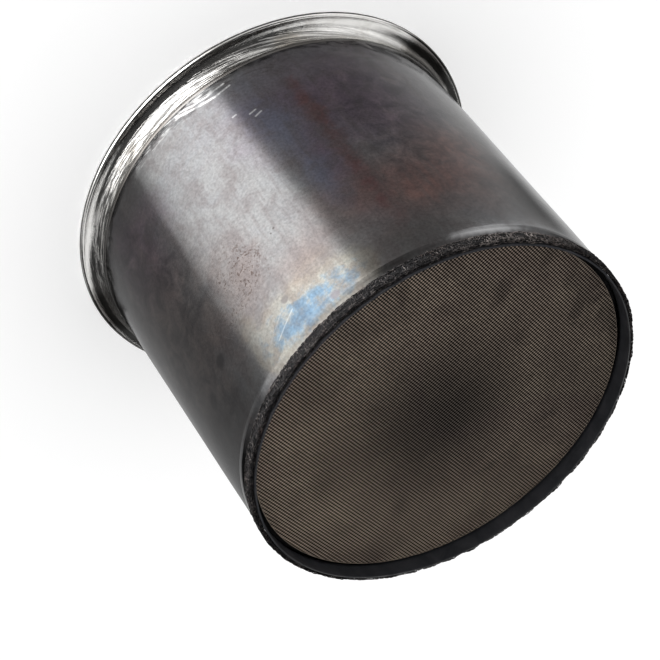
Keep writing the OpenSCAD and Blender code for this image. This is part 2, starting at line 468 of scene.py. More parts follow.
def makeShell():
    s = SimpleNamespace(**shell)
    angle = math.degrees(math.acos(1 - (s.outer - s.collar) / (2 * s.bend)))
    rise = 2 * s.bend * math.sin(math.radians(angle))
    inner, edge = s.outer - s.wall, s.wall / 2
    collarZ = s.shoulder + rise
    foot, waist, top = (s.outer, s.low), (s.outer, s.low + s.waist), (s.outer, s.shoulder)
    outside = [foot] + between(foot, waist, s.waistRows) + [waist] + between(waist, top, s.wallRows)
    bendOut = arc(s.outer - s.bend, s.shoulder, s.bend, 0, angle, 8)
    bendBack = arc(s.collar + s.bend, collarZ, s.bend, 180 + angle, 180, 6)
    lip = arc(s.collar - edge, s.top - edge, edge, 0, 180, 8)
    backIn = arc(s.collar + s.bend, collarZ, s.bend + s.wall, 180, 180 + angle, 6)
    backOut = arc(s.outer - s.bend, s.shoulder, s.bend - s.wall, angle, 0, 5)
    collarOut = between(bendBack[-1], lip[0], 4)
    collarIn = between(lip[-1], backIn[0], 4)
    inside = between((inner, s.shoulder), (inner, s.low), 8) + [(inner, s.low)]
    profile = outside + bendOut + bendBack[1:] + collarOut + lip + collarIn + backIn + backOut[1:] + inside
    slow, quick, near = waves(3, 6, 2, 7), waves(4, 9, 5, 19), waves(5, 9, 9, 30)

    def shift(a, r, z):
        low = math.exp(-((z - s.low) / s.rippleHigh) ** 2)
        sway = s.dent * (slow(a + 2 * z) + 0.6 * quick(a - 5 * z + 1))
        fade = min(1, (z - s.low) / s.footFade) * min(1, max(0, (s.top - z) / s.topFade))
        dent = 0
        for turn, high, wide, tall, depth in shellDents:
            away = (a - cameraSide - math.radians(turn) + math.pi) % math.tau - math.pi
            dent += depth * math.exp(-(away * s.outer / wide) ** 2 - ((z - high) / tall) ** 2)
        return (sway + s.ripple * low * near(a + 9 * z)) * fade - dent, 0

    return dress(spun("shellCan", profile, s.steps, shift), "shell", shellFinish())


# flange: neck, flare, flat and turned edge

flange = {"neck": shellRadius, "len": 0.02, "wall": 0.002, "flare": 0.0124, "rimHigh": 0.004,
          "rimBend": 0.0024, "reach": 0.01512, "steps": 480, "sway": 0.00006, "neckFade": 0.004,
          "seatFade": 0.002, "wornNeck": (0.0045, 0.0095), "underside": (0.1722, 0.1716)}


def flangeFinish():
    finish, shader, place = newFinish("brightFlange", (0.72, 0.71, 0.69), 1, 0.1)
    lie = useGroup(roundPlace, {"Place": place})
    marks = marksOn(place, 1500, 2.2)
    rubbed = marksOn(place, 420, 9)
    neck = remap(lie["Height"], *flange["wornNeck"])
    under = remap(lie["Radius"], *flange["underside"])
    smear = sootOn(place, 38, 0.4, 0.14)
    tint = laid((0.74, 0.73, 0.71), smear, 0.35, (0.4, 0.37, 0.33))
    straw = times(neck, remap(noise(place, 22), 0.5, 0.7, 0, 0.5))
    tint = mixColour(straw, tint, (0.5, 0.43, 0.33))
    # brushed marks on the neck, real, but painted darkest on the side where the bright reflection falls:
    # painted shade between the highlight streaks
    ahead = vecCalc("DOT_PRODUCT", place, onShell(24, 0, 1))
    strong = remap(ahead, 0.02, 0.13, 0.2, 1)
    wornAndShadedStreaks = times(times(neck, strong), remap(rubbed, 0.62, 0.44))
    tint = laid(tint, wornAndShadedStreaks, 0.92, (0.045, 0.044, 0.043))
    lines = times(times(neck, strong), remap(marks, 0.52, 0.66))
    tint = laid(tint, lines, 0.7, (0.14, 0.13, 0.12))
    # painted shade: the neck darkened at both sides, standing in for the dark surroundings it shows there
    for turn in (-82, 84):
        paintedNeckShade = stain(place, onShell(turn, 0.012), (0.046, 0.046, 0.03), 0.7, 40, 0.5)
        tint = laid(tint, paintedNeckShade, 0.9, (0.1, 0.092, 0.084))
    tint = mixColour(under, tint, (0.24, 0.22, 0.21))
    rough = calc("ADD", remap(smear, 0, 1, 0.07, 0.17), times(neck, 0.1))
    feed(shader, {"Base Color": tint, "Roughness": mixValue(under, rough, 0.4)})
    ridges = times(times(rubbed, strong), calc("ADD", neck, 0.15))
    bumpOn(shader, calc("ADD", times(marks, 0.12), ridges), 0.7, 0.0012)
    return finish


def makeFlange():
    f = SimpleNamespace(**flange)
    rim, flareZ, flareC = f.neck + f.reach, f.rimHigh + f.flare, f.neck + f.flare
    edgeC, edgeZ, w = rim - f.rimBend, f.rimHigh - f.rimBend, f.wall
    inNeck, outNeck = (f.neck - w, f.len), (f.neck, f.len)
    flareIn = arc(flareC, flareZ, f.flare + w, 180, 270, 22)
    edgeIn = arc(edgeC, edgeZ, f.rimBend - w, 90, 0, 5)
    edgeOut = arc(edgeC, edgeZ, f.rimBend, 0, 90, 10)
    flareOut = arc(flareC, flareZ, f.flare, 270, 180, 26)
    profile = [inNeck] + flareIn + edgeIn + [(rim - w, 0), (rim, 0)] + edgeOut + flareOut + [outNeck]
    slow, quick = waves(11, 6, 2, 6), waves(12, 8, 7, 22)

    def shift(a, r, z):
        free = 1 - math.exp(-((f.len - z) / f.neckFade) ** 2)
        return 0, f.sway * free * min(1, z / f.seatFade) * (slow(a) + 0.5 * quick(a + 20 * r))

    ring = spun("flareRing", profile, f.steps, shift)
    return dress(ring, "v_band_flange", flangeFinish())


# welds: low beads with overlapping ripples

weld = {"radius": shellRadius, "high": 0.0006, "wide": 0.004, "at": 0.02, "sunk": 0.0002, "ripples": 640,
        "rippleDeep": 0.00022, "rippleBend": 260, "seamWide": 0.005, "seamTurn": math.radians(135),
        "seamTop": 0.2929, "seamRipple": 0.0016, "seamDeep": 0.4, "seamBend": 0.9, "seamSunk": 0.3}


def weldFinish():
    finish, shader, place = newFinish("greyWeld", (0.25, 0.24, 0.22), 1, 0.25)
    drift = noise(place, 30, 5)
    tint = ramp(drift, [(0.3, (0.13, 0.127, 0.124)), (0.52, (0.095, 0.088, 0.082)),
                        (0.7, (0.06, 0.057, 0.056))])
    feed(shader, {"Base Color": tint, "Roughness": remap(drift, 0.3, 0.7, 0.18, 0.36)})
    bumpOn(shader, noise(place, 900, 3), 0.15, 0.0003)
    return finish


def makeWelds(finish):
    w = SimpleNamespace(**weld)
    half = w.wide / 2
    crown = [(-1, 0), (-0.6, 0.62), (0, 1), (0.6, 0.62), (1, 0)]  # along the wall, over the wall
    under = w.radius - w.sunk
    bead = [(w.radius + w.high * h, w.at + half * p) for p, h in crown]
    profile = [(under, w.at - half)] + bead + [(under, w.at + half)]

    def ripple(a, r, z):
        over = max(0, (r - w.radius) / w.high)
        phase = (w.ripples * a / math.tau + w.rippleBend * abs(z - w.at)) % 1
        return -w.rippleDeep * over * phase, 0

    dress(spun("flangeBead", profile, w.ripples * 4, ripple, 60), "flange_weld", finish)
    low, top = w.at + half, w.seamTop
    rows = int((top - low) / w.seamRipple * 4)
    section = [(-1, -w.seamSunk)] + crown + [(1, -w.seamSunk)]
    n = len(section)
    verts = []
    for k in range(rows + 1):
        z = low + (top - low) * k / rows
        for p, h in section:
            phase = ((z - low) / w.seamRipple + w.seamBend * abs(p)) % 1
            r = w.radius + w.high * (h if h <= 0 else h * (1 - w.seamDeep * phase))
            a = w.seamTurn + p * w.seamWide / 2 / w.radius
            verts.append((r * math.cos(a), r * math.sin(a), z))
    faces = [(k * n + j, k * n + (j + 1) % n, (k + 1) * n + (j + 1) % n, (k + 1) * n + j)
             for k in range(rows) for j in range(n)]
    faces += [tuple(range(n - 1, -1, -1)), tuple(range(rows * n, rows * n + n))]
    dress(newPiece("seamBead", newMesh("seamBead", verts, faces, True, 60)), "seam_weld", finish)


# honeycomb: true cell spacing, every second channel open on each face

comb = {"radius": 0.1651, "pitch": 0.0017823, "open": 0.00154, "deep": 0.0125, "skin": 0.00035,
        "chamfer": 0.00015, "front": 0.3038, "rear": 0.0244, "skinDeep": 0.002, "rimSteps": 720, "seed": 21,
        "midHigh": 0.15, "paintedTo": (0.1648, 0.1644), "darkDeep": 0.004}
combSmudges = [(-0.105, 0.031, 0.022), (-0.126, -0.01, 0.018), (-0.143, -0.06, 0.024), (-0.07, -0.136, 0.017),
               (-0.033, -0.11, 0.015), (-0.084, 0.07, 0.026), (-0.1, -0.112, 0.014), (0.058, -0.128, 0.016),
               (0.02, 0.098, 0.016), (0.098, 0.052, 0.02), (-0.06, -0.058, 0.016)]  # x, y, reach


def newGeoTree(name, *inputs):
    # a tree with a geometry, the named inputs and a finish; returns their identifiers and outputs too
    tree = current["tree"] = bpy.data.node_groups.new(name, "GeometryNodeTree")
    face, sockets = tree.interface, {}
    face.new_socket(name="Geometry", in_out="INPUT", socket_type="NodeSocketGeometry")
    for label, kind in (*inputs, ("Finish", "NodeSocketMaterial")):
        sockets[label] = face.new_socket(name=label, in_out="INPUT", socket_type=kind).identifier
    face.new_socket(name="Geometry", in_out="OUTPUT", socket_type="NodeSocketGeometry")
    return tree, sockets, addNode("NodeGroupInput").outputs


def endGeoTree(shape, finish):
    real = addNode("GeometryNodeRealizeInstances", {"Geometry": shape})
    paint = addNode("GeometryNodeSetMaterial", {"Geometry": real.outputs[0], "Material": finish})
    addNode("NodeGroupOutput", (paint.outputs[0],))


def gridTree():
    # a unit shape on every point, with a tone of its own
    tree, sockets, ins = newGeoTree("channelGrid", ("Unit", "NodeSocketObject"),
                                    ("Tone Seed", "NodeSocketInt"))
    unit = addNode("GeometryNodeObjectInfo", {"Object": ins["Unit"]})
    place = addNode("GeometryNodeInstanceOnPoints", {"Points": ins["Geometry"],
                                                     "Instance": unit.outputs["Geometry"]})
    tone = addNode("FunctionNodeRandomValue", {"Seed": ins["Tone Seed"]}, data_type="FLOAT")
    keep = addNode("GeometryNodeStoreNamedAttribute", {"Geometry": place.outputs[0], "Name": "tone",
                                                       "Value": tone.outputs[1]},
                   data_type="FLOAT", domain="INSTANCE")
    endGeoTree(keep.outputs[0], ins["Finish"])
    return tree, sockets


def runTree(name, base, tree, sockets, values):
    # evaluates the tree on a base object and keeps the result as a plain mesh
    modifier = base.modifiers.new("nodes", "NODES")
    modifier.node_group = tree
    for label, value in values.items():
        modifier[sockets[label]] = value
    graph = bpy.context.evaluated_depsgraph_get()
    mesh = bpy.data.meshes.new_from_object(base.evaluated_get(graph), depsgraph=graph)
    base.modifiers.remove(modifier)
    bpy.data.objects.remove(base)
    mesh.name = name
    return newPiece(name, mesh)


def plugFinish():
    finish, shader, place = newFinish("sootyCeramic", (0.12, 0.1, 0.08), 0, 0.9, 0.05)
    tone = addNode("ShaderNodeAttribute", attribute_name="tone").outputs["Fac"]
    lie = useGroup(roundPlace, {"Place": place})
    parts = addNode("ShaderNodeSeparateXYZ", (place,)).outputs

    cells = [calc("ADD", calc("DIVIDE", parts[k], comb["pitch"]), 100.5) for k in (0, 1)]
    away = [calc("ABSOLUTE", calc("SUBTRACT", calc("FRACT", cell), 0.5)) for cell in cells]
    middle = calc("MAXIMUM", *away)  # distance from the middle of the cell, in cells
    plug = remap(middle, 0.46, 0.38)
    # cells cut by the skin stay in the flat rim: the open ones are only painted dark
    odd = calc("FLOORED_MODULO", calc("ADD", *[calc("FLOOR", cell) for cell in cells]), 2)
    cut = calc("ABSOLUTE", calc("SUBTRACT", odd, calc("GREATER_THAN", parts[2], comb["midHigh"])))
    cut = times(cut, remap(middle, 0.435, 0.415))
    cut = times(cut, remap(lie["Radius"], *comb["paintedTo"]))
    drift = noise(place, 20, 6, 0.62, 0.5)
    spokes = noise(vecCalc("ADD", scaled(lie["Rim"], 5), scaled(place, 6)), 1, 3)
    clay = ramp(mixValue(0.35, drift, spokes), [
        (0.3, (0.164, 0.128, 0.107)), (0.48, (0.208, 0.167, 0.136)), (0.68, (0.272, 0.222, 0.173))])
    clay = mixColour(remap(tone, 0, 1, 0, 0.34), clay, (0.094, 0.075, 0.062))
    heart = stain(place, (-0.006, 0.006, comb["front"]), (0.128, 0.128, 0.4), 0.5, 14, 0)
    side = stain(place, (-0.12, 0.02, comb["front"]), (0.13, 0.19, 0.4), 0.9, 18, 0)
    smudge = sootOn(place, 26, 0.45, 0.09)
    smudge = times(smudge, remap(side, 0, 0.6, 0.25, 0.6))
    dark = calc("MAXIMUM", times(heart, 0.9), smudge)
    dark = calc("MAXIMUM", dark, times(side, 0.36))
    for x, y, reach in combSmudges:
        blot = stain(place, (x, y, comb["front"]), (reach * 0.8, reach * 1.7, 0.4), 1.3, 62, 0)
        dark = calc("MAXIMUM", dark, times(blot, 0.44))
    clay = mixColour(dark, clay, (0.048, 0.041, 0.037))
    clay = mixColour(remap(parts[0], 0.02, 0.16, 0, 0.5), clay, (1.45, 1.45, 1.42), "MULTIPLY")
    wall = tinted(clay, (0.05, 0.048, 0.046))
    face = mixColour(cut, mixColour(plug, wall, clay), (0.006, 0.005, 0.004))
    feed(shader, {"Base Color": face})
    bumpOn(shader, noise(place, 1600, 3), 0.3, 0.0002)
    return finish


def channelFinish():
    finish, shader, place = newFinish("channelSootAndShade", (0.02, 0.018, 0.015), 0, 0.95, 0)
    high = addNode("ShaderNodeSeparateXYZ", (place,)).outputs[2]
    below = calc("MINIMUM", calc("ABSOLUTE", calc("SUBTRACT", high, comb["front"])),
                 calc("ABSOLUTE", calc("SUBTRACT", high, comb["rear"])))
    # soot in the channels, painted darker with depth below the face as painted shade
    wall = ramp(calc("DIVIDE", below, comb["darkDeep"]), [
        (0, (0.022, 0.019, 0.015)), (0.25, (0.01, 0.009, 0.008)), (1, (0.004, 0.004, 0.004))])
    feed(shader, {"Base Color": wall})
    return finish


def skinFinish():
    finish, shader, place = newFinish("ceramicSkin", (0.2, 0.17, 0.14), 0, 0.9)
    soot = sootOn(place, 30, 0.5, 0.2)
    feed(shader, {"Base Color": mixColour(soot, (0.2, 0.17, 0.135), (0.06, 0.055, 0.05))})
    bumpOn(shader, noise(place, 800, 4), 0.3, 0.0003)
    return finish


def combCells(first):
    # open and plugged cells of a face; the sum of row and column of an open cell is even or odd
    c = SimpleNamespace(**comb)
    reach = int(c.radius / c.pitch) + 1
    limit = (c.radius - c.skin - c.chamfer) / c.pitch
    half = c.open / c.pitch / 2
    holes, plugs = set(), set()
    grid = [(i, j) for i in range(-reach, reach + 1) for j in range(-reach, reach + 1)]
    for i, j in grid:
        if (i + j) % 2 == first and math.hypot(abs(i) + half, abs(j) + half) < limit:
            holes.add((i, j))
    for i, j in grid:
        if (i + j) % 2 != first and {(i - 1, j), (i + 1, j), (i, j - 1), (i, j + 1)} <= holes:
            plugs.add((i, j))
    return holes, plugs


def plugCorners(i, j):
    # the eight corners of a plugged cell, each one a corner of an open neighbour
    return [(i - 1, j, 1, -1), (i, j - 1, -1, 1), (i, j - 1, 1, 1), (i + 1, j, -1, -1),
            (i + 1, j, -1, 1), (i, j + 1, 1, -1), (i, j + 1, -1, -1), (i - 1, j, 1, 1)]


def holeCorners(i, j):
    return [(i, j, -1, -1), (i, j, 1, -1), (i, j, 1, 1), (i, j, -1, 1)]


def cornerPlace(key):
    i, j, sx, sy = key
    half = comb["open"] / 2
    return (i * comb["pitch"] + sx * half, j * comb["pitch"] + sy * half)


def combRim(holes, plugs, first):
    # flat rest of the face between the last whole cells and the skin
    c = SimpleNamespace(**comb)
    edges = {}
    for ring in [plugCorners(*p) for p in plugs] + [holeCorners(*h) for h in holes]:
        for a, b in zip(ring, ring[1:] + ring[:1]):
            edges[frozenset((a, b))] = edges.get(frozenset((a, b)), 0) + 1
    border = [tuple(e) for e, n in edges.items() if n == 1]
    index = {}
    for pair in border:
        for key in pair:
            index.setdefault(key, len(index))
    points = [Vector(cornerPlace(key)) for key in index]
    lines = [(index[a], index[b]) for a, b in border]
    start, count, r = len(points), c.rimSteps, c.radius - c.chamfer
    points += [Vector((r * math.cos(math.tau * k / count), r * math.sin(math.tau * k / count)))
               for k in range(count)]
    lines += [(start + k, start + (k + 1) % count) for k in range(count)]
    verts, _, faces, _, _, _ = delaunay_2d_cdt(points, lines, [], 0, 1e-7)

    def covered(x, y):
        u, v = x / c.pitch, y / c.pitch
        i, j = round(u), round(v)
        du, dv = u - i, v - j
        if (i + j) % 2 != first:
            return (i, j) in plugs
        half = c.open / c.pitch / 2
        if abs(du) < half and abs(dv) < half:
            return (i, j) in holes
        near = (i + (1 if du > 0 else -1), j) if abs(du) > abs(dv) else (i, j + (1 if dv > 0 else -1))
        return near in plugs

    kept = []
    for f in faces:
        mid = sum((verts[k] for k in f), Vector((0, 0))) / len(f)
        if mid.length < r and not covered(mid.x, mid.y):
            kept.append(f)
    return [(v.x, v.y) for v in verts], kept


def unitShape(name, verts, faces):
    return bpy.data.objects.new(name, newMesh(name, verts, faces))


def makeComb():
    c = SimpleNamespace(**comb)
    h, p, d = c.open / 2, c.pitch, c.deep
    tree, sockets = gridTree()
    plugLook, channelLook = plugFinish(), channelFinish()
    octagon = [cornerPlace(k) for k in plugCorners(1, 0)]
    for label, level, way, first in (("Outlet", c.front, 1, 0), ("Inlet", c.rear, -1, 1)):
        holes, plugs = combCells(first)
        rimPoints, rimFaces = combRim(holes, plugs, first)
        plug = unitShape("plugUnit" + label, [(x - p, y, 0) for x, y in octagon],
                         [tuple(range(8)) if way > 0 else tuple(range(7, -1, -1))])
        square = [(-h, -h), (h, -h), (h, h), (-h, h)]
        verts = [(x, y, 0) for x, y in square] + [(x, y, -d * way) for x, y in square]
        faces = [(k, k + 4, (k + 1) % 4 + 4, (k + 1) % 4) for k in range(4)] + [(4, 5, 6, 7)]
        if way < 0:
            faces = [tuple(reversed(f)) for f in faces]
        channel = unitShape("channelUnit" + label, verts, faces)
        kinds = ((plug, plugs, plugLook, "plugs"), (channel, holes, channelLook, "channels"))
        for unit, cells, look, kind in kinds:
            base = newPiece("spots", newMesh("spots", [(i * p, j * p, level) for i, j in sorted(cells)], []))
            piece = runTree(kind + label, base, tree, sockets,
                            {"Unit": unit, "Tone Seed": c.seed + first, "Finish": look})
            dress(piece, "substrate", look)
            bpy.data.objects.remove(unit)
        rim = newMesh("combRim" + label, [(x, y, level) for x, y in rimPoints],
                      [f if way > 0 else tuple(reversed(f)) for f in rimFaces])
        rim.validate()
        dress(newPiece("combRim" + label, rim), "substrate", plugLook)
    r, q, t = c.radius, c.chamfer, c.skinDeep
    low, high = (r, c.rear + q), (r, c.front - q)
    side = [(r - q, c.rear), low] + between(low, high, 8) + [high, (r - q, c.front)]
    side += [(r - q - t, c.front - t), (r - q - t, c.rear + t)]
    dress(spun("combSkin", side, c.rimSteps), "substrate", skinFinish())
    print("honeycomb:", len(holes), "open channels a face,", len(plugs), "plugs")


# gasket: knitted wire round the collar over a dark core

gasket = {"middle": (0.1726, 0.309), "half": (0.0018, 0.0052), "square": 0.6, "inner": 0.17095, "swell": 0.14,
          "heave": 0.0005, "lump": 0.0005, "rows": 8, "rowTurn": math.radians(112), "loops": 232,
          "loopPoints": 13, "loopHigh": 0.62, "loopWide": 0.5, "wire": 0.00032, "sides": 3, "strays": 460,
          "strayPoints": 7, "strayHigh": 0.0008, "strayThin": 0.8, "coreIn": 0.00055, "coreSteps": (720, 28),
          "seed": 8}


def gasketPlace(a, turn, lift, lumps):
    g = SimpleNamespace(**gasket)
    (r, z), (hr, hz) = g.middle, g.half
    swell = 1 + g.swell * lumps[0](a)
    c, s = math.cos(turn), math.sin(turn)
    x = math.copysign(abs(c) ** g.square, c) * (hr * swell + lift)
    heave = g.heave * lumps[1](a) * (0.3 if s < 0 else 1)
    y = math.copysign(abs(s) ** g.square, s) * (hz + lift) + heave
    r = max(r + x + g.lump * (0.3 + 0.5 * lumps[2](a)) * max(0, c), g.inner + max(0, -lift))
    return Vector((r * math.cos(a), r * math.sin(a), z + y))


def wireTree():
    # a tube along every curve
    tree, sockets, ins = newGeoTree("knitWire", ("Wire Radius", "NodeSocketFloat"),
                                    ("Sides", "NodeSocketInt"))
    ring = addNode("GeometryNodeCurvePrimitiveCircle", {"Resolution": ins["Sides"],
                                                        "Radius": ins["Wire Radius"]}, mode="RADIUS")
    tube = addNode("GeometryNodeCurveToMesh", {"Curve": ins["Geometry"], "Profile Curve": ring.outputs[0],
                                               "Fill Caps": True})
    smooth = addNode("GeometryNodeSetShadeSmooth", {"Geometry": tube.outputs[0]})
    endGeoTree(smooth.outputs[0], ins["Finish"])
    return tree, sockets


def wireFinish():
    finish, shader, place = newFinish("sootyWire", (0.06, 0.06, 0.065), 0.8, 0.4)
    soot = sootOn(place, 240, 0.62, 0.16)
    # painted highlight: less soot and lighter wires where the light catches the top of the gasket
    glintPatch = stain(place, onShell(-46, 0.309), (0.085, 0.085, 0.03), 0.8, 40, 0.1)
    soot = times(soot, remap(glintPatch, 0, 1, 1, 0.25))
    tint = mixColour(soot, (0.135, 0.125, 0.12), (0.018, 0.017, 0.018))
    rust = sootOn(place, 42, 0.38, 0.1)
    tint = laid(tint, rust, 0.45, (0.085, 0.06, 0.052))
    # wires lighter and darker in clumps: painted glints and painted shade in the knit
    clumpsAndGlints = noise(place, 300, 2, 0.6, 0.8)
    tint = tinted(tint, ramp(clumpsAndGlints, [(0.4, (0.25, 0.25, 0.26)), (0.6, (2, 1.9, 1.85))]))
    feed(shader, {"Base Color": tint, "Roughness": remap(soot, 0, 1, 0.32, 0.58)})
    return finish


def coreFinish():
    finish, shader, place = newFinish("packedWire", (0.012, 0.012, 0.014), 0, 0.8, 0.2)
    lint = noise(place, 900, 5, 0.7, 1.5)
    feed(shader, {"Base Color": mixColour(lint, (0.004, 0.004, 0.005), (0.018, 0.017, 0.018))})
    bumpOn(shader, lint, 0.9, 0.0006)
    return finish


def wireCurve(name, runs):
    data = bpy.data.curves.new(name, "CURVE")
    data.dimensions = "3D"
    for points, closed in runs:
        spline = data.splines.new("POLY")
        spline.points.add(len(points) - 1)
        flat = []
        for p in points:
            flat += [p.x, p.y, p.z, 1.0]
        spline.points.foreach_set("co", flat)
        spline.use_cyclic_u = closed
    return newPiece(name, data)


def makeGasket():
    g = SimpleNamespace(**gasket)
    rng = random.Random(g.seed)
    lumps = [waves(31, 8, 3, 26), waves(32, 10, 6, 60), waves(33, 9, 3, 34)]
    tree, sockets = wireTree()
    finish, core = wireFinish(), coreFinish()
    runs = []
    first, last = -g.rowTurn, g.rowTurn
    spread = (last - first) / (g.rows - 1)
    for row in range(g.rows):
        middle = first + spread * row
        total = g.loops * g.loopPoints
        wander, slack = waves(50 + row, 9, 12, 70), waves(70 + row, 9, 20, 120)
        offset = rng.uniform(0, math.tau)
        points = []
        for k in range(total):
            u = math.tau * k / g.loopPoints + offset
            a = math.tau * k / total
            swing = g.loopHigh * (1 + 0.35 * slack(a))
            turn = middle + spread * (swing * math.cos(u) + 0.35 * wander(a)) + rng.uniform(-0.05, 0.05)
            side = (g.loopWide + 0.2 * wander(a)) * math.sin(2 * u) * math.tau / g.loops / 2
            lift = 0.0002 * math.cos(2 * u) + 0.00022 * slack(a + 1) + rng.uniform(-0.0001, 0.0001)
            points.append(gasketPlace(a + side, turn, lift, lumps))
        runs.append((points, True))
    knit = runTree("knitWires", wireCurve("knitPath", runs), tree, sockets,
                   {"Wire Radius": g.wire, "Sides": g.sides, "Finish": finish})
    dress(knit, "mesh_gasket", finish)
    runs = []
    for _ in range(g.strays):
        a, turn = rng.uniform(0, math.tau), rng.uniform(first, last)
        lean, climb = rng.uniform(-0.016, 0.016), rng.uniform(-0.9, 0.9)
        points = []
        for k in range(g.strayPoints):
            t = k / (g.strayPoints - 1)
            lift = g.strayHigh * math.sin(math.pi * t) * rng.uniform(0.5, 1.2) - 0.0003
            points.append(gasketPlace(a + lean * t, turn + climb * t * t, lift, lumps))
        runs.append((points, False))
    strays = runTree("strayWires", wireCurve("strayPath", runs), tree, sockets,
                     {"Wire Radius": g.wire * g.strayThin, "Sides": g.sides, "Finish": finish})
    dress(strays, "mesh_gasket", finish)
    steps, around = g.coreSteps
    verts = [gasketPlace(math.tau * s / steps, math.tau * k / around, -g.coreIn, lumps)
             for s in range(steps) for k in range(around)]
    mesh = newMesh("gasketCore", verts, ringFaces(steps, around), True)
    dress(newPiece("gasketCore", mesh), "mesh_gasket", core)


# the pieces that keep their own solids

def repaint(node, finish):
    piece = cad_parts[node]
    piece.data.materials.clear()
    piece.data.materials.append(finish)


def matFinish():
    finish, shader, place = newFinish("fibreMat", (0.7, 0.66, 0.56), 0, 0.95)
    fluff = noise(place, 300, 6, 0.7)
    feed(shader, {"Base Color": mixColour(fluff, (0.56, 0.52, 0.42), (0.8, 0.76, 0.66))})
    bumpOn(shader, fluff, 0.5, 0.001)
    return finish


def ringFinish():
    finish, shader, place = newFinish("dullRing", (0.25, 0.24, 0.23), 1, 0.42)
    soot = sootOn(place, 24, 0.5, 0.16)
    feed(shader, {"Base Color": mixColour(soot, (0.32, 0.29, 0.26), (0.06, 0.055, 0.055)),
                  "Roughness": remap(soot, 0, 1, 0.32, 0.6)})
    bumpOn(shader, marksOn(place, 1100, 4), 0.15, 0.0004)
    return finish


makeShell()
makeFlange()
makeWelds(weldFinish())
print("sheet metal done")
makeComb()
makeGasket()
packed = coreFinish()
repaint("front_mat_seal", packed)
repaint("rear_mat_seal", packed)
repaint("support_mat", matFinish())
repaint("rear_retaining_ring", ringFinish())
print("gasket and inner pieces done")


# camera, floor and light

view = {"place": (0.86382, -1.19772, 1.46699), "aim": (0.02754, 0.01893, 0.16471), "roll": 143.375,
        "lens": 127.459, "sensor": 36, "clip": (0.05, 50)}
studio = {"floor": 12, "floorTone": (0.93, 0.93, 0.93), "floorDrop": 0.0004, "white": 0.2, "sheen": 0.11,
          "sky": 1, "flagTone": 0.03, "nearest": 0.19, "shadeHigh": 0.0002}
# strength of the light strip by the turn at which the shell shows it
lightStrip = [(-26, 0.9), (-18, 1.05), (-12, 1.3), (-8, 1.7), (-6, 2.5), (-4.6, 4.6), (-3, 7), (-1, 8),
              (3, 8.4), (8, 8.6), (15, 7.8), (20, 6.6), (25, 4.8), (28, 3), (31, 1.2), (34, 0.9)]
# its rows: the height at which the shell shows them, share of the strength, share of the width
stripRows = [(0.02, 0.45, 0.9), (0.036, 1, 0.91), (0.3, 1, 1.03), (0.76, 1, 1.04)]
# light low over the horizon by the turn round the part, seen in the flare and the shoulder
horizon = [(-160, 0.03), (-112, 0.03), (-102, 0.6), (-92, 1.4), (-78, 1.5), (-60, 1.5), (-45, 0.9),
           (-24, 0.5), (-16, 0.5), (-6, 4.5), (4, 7), (40, 7), (52, 4.5), (62, 1), (76, 0.6),
           (92, 0.04), (170, 0.04)]
horizonCard = {"away": 1.05, "rows": [(0, 1), (0.38, 0.9), (0.5, 0.45), (0.6, 0.1)]}
topFlag = {"turn": 10, "tilt": 52, "away": 1, "wide": 2.7, "high": 1.7}
sideFlags = [{"turn": -148, "tilt": 20, "away": 1.2, "wide": 1.5, "high": 1.1},
             {"turn": 140, "tilt": 20, "away": 1.2, "wide": 1.6, "high": 1.1}]
# tones of the floor where the shell shows it: to 1, each part adds itself times its share of the row, which
# goes by height, times its share of the column, which goes by turn
floorTones = [
    {"name": "floorRight", "parts": (-0.6,),
     "rows": [(0.02, 0.9), (0.1, 0.95), (0.2, 1), (0.33, 1.06)],
     "turns": [(31, 0.1), (35, 0.3), (42, 0.72), (52, 0.95), (62, 1.08), (72, 1.12), (84, 0.95)]},
    {"name": "floorLeft", "parts": (-0.7, 1.1, -0.3),
     "rows": [(0.05, 0, 0, 0.8), (0.08, 0, 0, 1), (0.14, 0.1, 0, 0.9), (0.18, 0.4, 0, 0.4),
              (0.22, 0.95, 0, 0.1), (0.27, 1, 0, 0.1), (0.286, 0.95, 0.2, 0.2), (0.3, 0.7, 1, 0),
              (0.33, 0.5, 1, 0)],
     "turns": [(-82, 0.35, 0, 1.2), (-74, 0.45, 0, 1.2), (-66, 1.12, 0.1, 0.9), (-60, 0.65, 0.4, 0.8),
               (-54, 0.25, 0.7, 0.7), (-46, 0.08, 0.9, 0.75), (-38, 0.08, 0.8, 1), (-30, 0, 0.2, 0.9),
               (-24, 0, 0, 0.4), (-18, 0, 0, 0)]}]
# dark floor close beside the flange: shares by turn and by distance
footShades = [
    {"name": "footShade",
     "turns": [(-165, 0.96), (-140, 0.96), (-100, 0.94), (-90, 0.55), (-82, 0.22), (-74, 0.15)],
     "rings": [(0.189, 1), (0.196, 1), (0.2, 0.8)]},
    {"name": "footRight", "turns": [(64, 0.58), (76, 0.62), (86, 0.93), (170, 0.96)],
     "rings": [(0.189, 1), (0.196, 1), (0.1985, 0.95)]},
    {"name": "footLine", "turns": [(turn, 0.95) for turn in range(-180, 181, 6)],
     "rings": [(0.1889, 1), (0.1925, 0.9), (0.195, 0.3)]}]


def makeCamera():
    data = bpy.data.cameras.new("camera")
    data.lens, data.sensor_width = view["lens"], view["sensor"]
    data.clip_start, data.clip_end = view["clip"]
    lens = newPiece("camera", data)
    ahead = Vector(view["aim"]) - Vector(view["place"])
    turn = ahead.to_track_quat("-Z", "Y").to_matrix().to_4x4()
    roll = Matrix.Rotation(math.radians(view["roll"]), 4, "Z")
    lens.matrix_world = Matrix.Translation(view["place"]) @ turn @ roll
    scene.camera = lens


